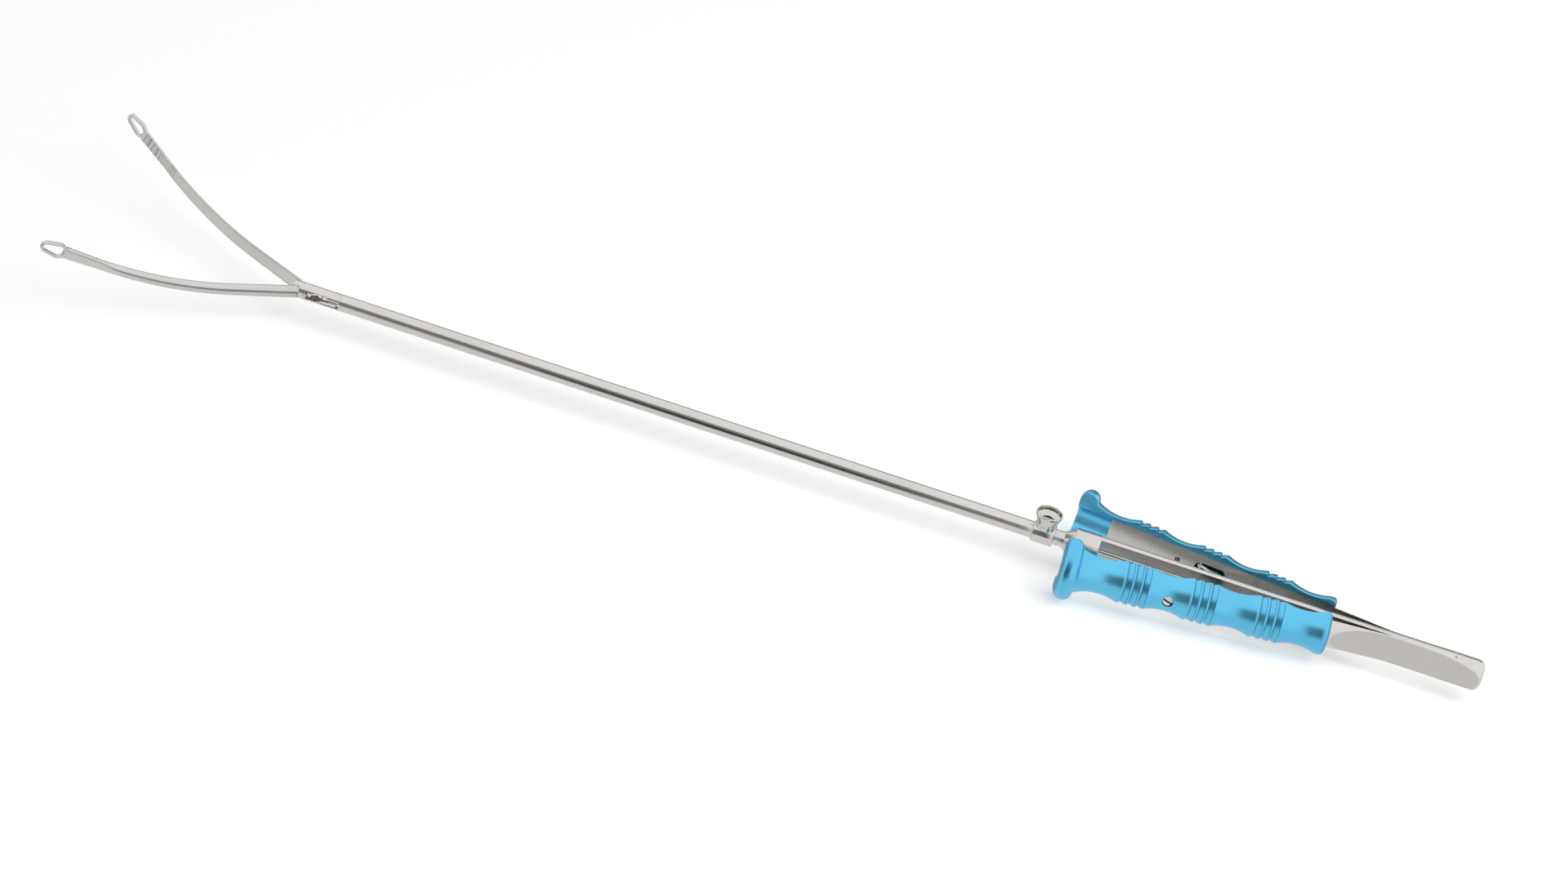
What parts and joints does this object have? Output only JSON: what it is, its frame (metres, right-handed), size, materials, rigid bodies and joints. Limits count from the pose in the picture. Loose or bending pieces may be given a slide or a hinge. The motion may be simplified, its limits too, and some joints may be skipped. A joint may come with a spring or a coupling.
{
  "type": "laparoscopic grasper",
  "caption": "Slim straight laparoscopic grasper with long bowed ring-tipped jaws, a side flush port and a spring-leaf handle with blue ridged grips.",
  "frame": {"origin": "on the shaft's axis, at the front edge of the head that carries the jaws", "axes": "+X along the shaft, from the jaws to the handle's butt; +Z along the jaw pivot, on the side where the flush port stands; the jaws and the handle open along Y, with far pieces at +Y and near pieces at -Y"},
  "size_m": [0.4342, 0.0846, 0.0246],
  "materials": {
    "tube_steel": "satin stainless steel tube",
    "head_steel": "satin stainless steel",
    "jaw_steel": "fine satin stainless steel",
    "port_steel": "turned stainless steel",
    "handle_steel": "satin stainless steel",
    "pin_steel": "polished stainless steel",
    "blue_anodised": "blue anodised, satin",
    "seal_rubber": "moulded silicone"
  },
  "bodies": {
    "shaft": {"outer_tube": "tube_steel", "clevis_head": "head_steel", "jaw_pivot_pin": "pin_steel", "flush_collar": "port_steel", "luer_hub": "port_steel", "rod_seal": "seal_rubber", "handle_nose": "handle_steel", "centre_bar": "handle_steel", "seam_pins": "pin_steel", "far_leaf_foot": "handle_steel", "near_leaf_foot": "handle_steel"},
    "far_lever": {"far_leaf": "handle_steel", "far_grip": "blue_anodised", "far_grip_screw": "pin_steel", "far_leaf_pin": "pin_steel"},
    "near_lever": {"near_leaf": "handle_steel", "near_grip": "blue_anodised", "near_grip_screw": "pin_steel", "near_leaf_pin": "pin_steel"},
    "rod": {"pull_rod": "pin_steel", "rod_front_pin": "pin_steel", "rod_rear_pin": "pin_steel"},
    "far_jaw": {"far_jaw": "jaw_steel", "far_tang_pin": "pin_steel"},
    "near_jaw": {"near_jaw": "jaw_steel", "near_tang_pin": "pin_steel"},
    "far_jaw_link": {"far_jaw_link": "pin_steel"},
    "near_jaw_link": {"near_jaw_link": "pin_steel"},
    "far_handle_link": {"far_handle_link": "pin_steel"},
    "near_handle_link": {"near_handle_link": "pin_steel"}
  },
  "joints": [
    {"name": "far_squeeze", "type": "hinge", "parent": "shaft", "child": "far_lever", "pos_m": [0.338, 0.0014, 0], "axis": [0, 0, 1], "range_deg": [0, 5], "stiffness_Nm_per_rad": 1.5},
    {"name": "near_squeeze", "type": "hinge", "parent": "shaft", "child": "near_lever", "pos_m": [0.338, -0.0014, 0], "axis": [0, 0, -1], "range_deg": [0, 5], "stiffness_Nm_per_rad": 1.5},
    {"name": "rod_slide", "type": "slide", "parent": "shaft", "child": "rod", "axis": [1, 0, 0], "range_m": [0, 0.00127]},
    {"name": "far_jaw_pivot", "type": "hinge", "parent": "shaft", "child": "far_jaw", "pos_m": [0.0036, 0, 0], "axis": [0, 0, 1], "range_deg": [0, 30]},
    {"name": "near_jaw_pivot", "type": "hinge", "parent": "shaft", "child": "near_jaw", "pos_m": [0.0036, 0, 0], "axis": [0, 0, -1], "range_deg": [0, 30]},
    {"name": "far_jaw_link_pivot", "type": "hinge", "parent": "rod", "child": "far_jaw_link", "pos_m": [0.0094, 0, 0], "axis": [0, 0, -1], "range_deg": [0, 16.04]},
    {"name": "near_jaw_link_pivot", "type": "hinge", "parent": "rod", "child": "near_jaw_link", "pos_m": [0.0094, 0, 0], "axis": [0, 0, 1], "range_deg": [0, 16.04]},
    {"name": "far_handle_link_pivot", "type": "hinge", "parent": "far_lever", "child": "far_handle_link", "pos_m": [0.27876, 0.00877, 0], "axis": [0, 0, 1], "range_deg": [0, 10.57]},
    {"name": "near_handle_link_pivot", "type": "hinge", "parent": "near_lever", "child": "near_handle_link", "pos_m": [0.27876, -0.00877, 0], "axis": [0, 0, -1], "range_deg": [0, 10.57]}
  ],
  "couplings": [
    {"joint": "near_squeeze", "follows": "far_squeeze", "ratio": 1},
    {"joint": "rod_slide", "follows": "far_squeeze", "m_per_rad": 0.01453},
    {"joint": "far_jaw_pivot", "follows": "far_squeeze", "ratio": 6},
    {"joint": "near_jaw_pivot", "follows": "far_squeeze", "ratio": 6},
    {"joint": "far_jaw_link_pivot", "follows": "far_squeeze", "ratio": 3.2014},
    {"joint": "near_jaw_link_pivot", "follows": "far_squeeze", "ratio": 3.2014},
    {"joint": "far_handle_link_pivot", "follows": "far_squeeze", "ratio": 2.109},
    {"joint": "near_handle_link_pivot", "follows": "far_squeeze", "ratio": 2.109}
  ]
}
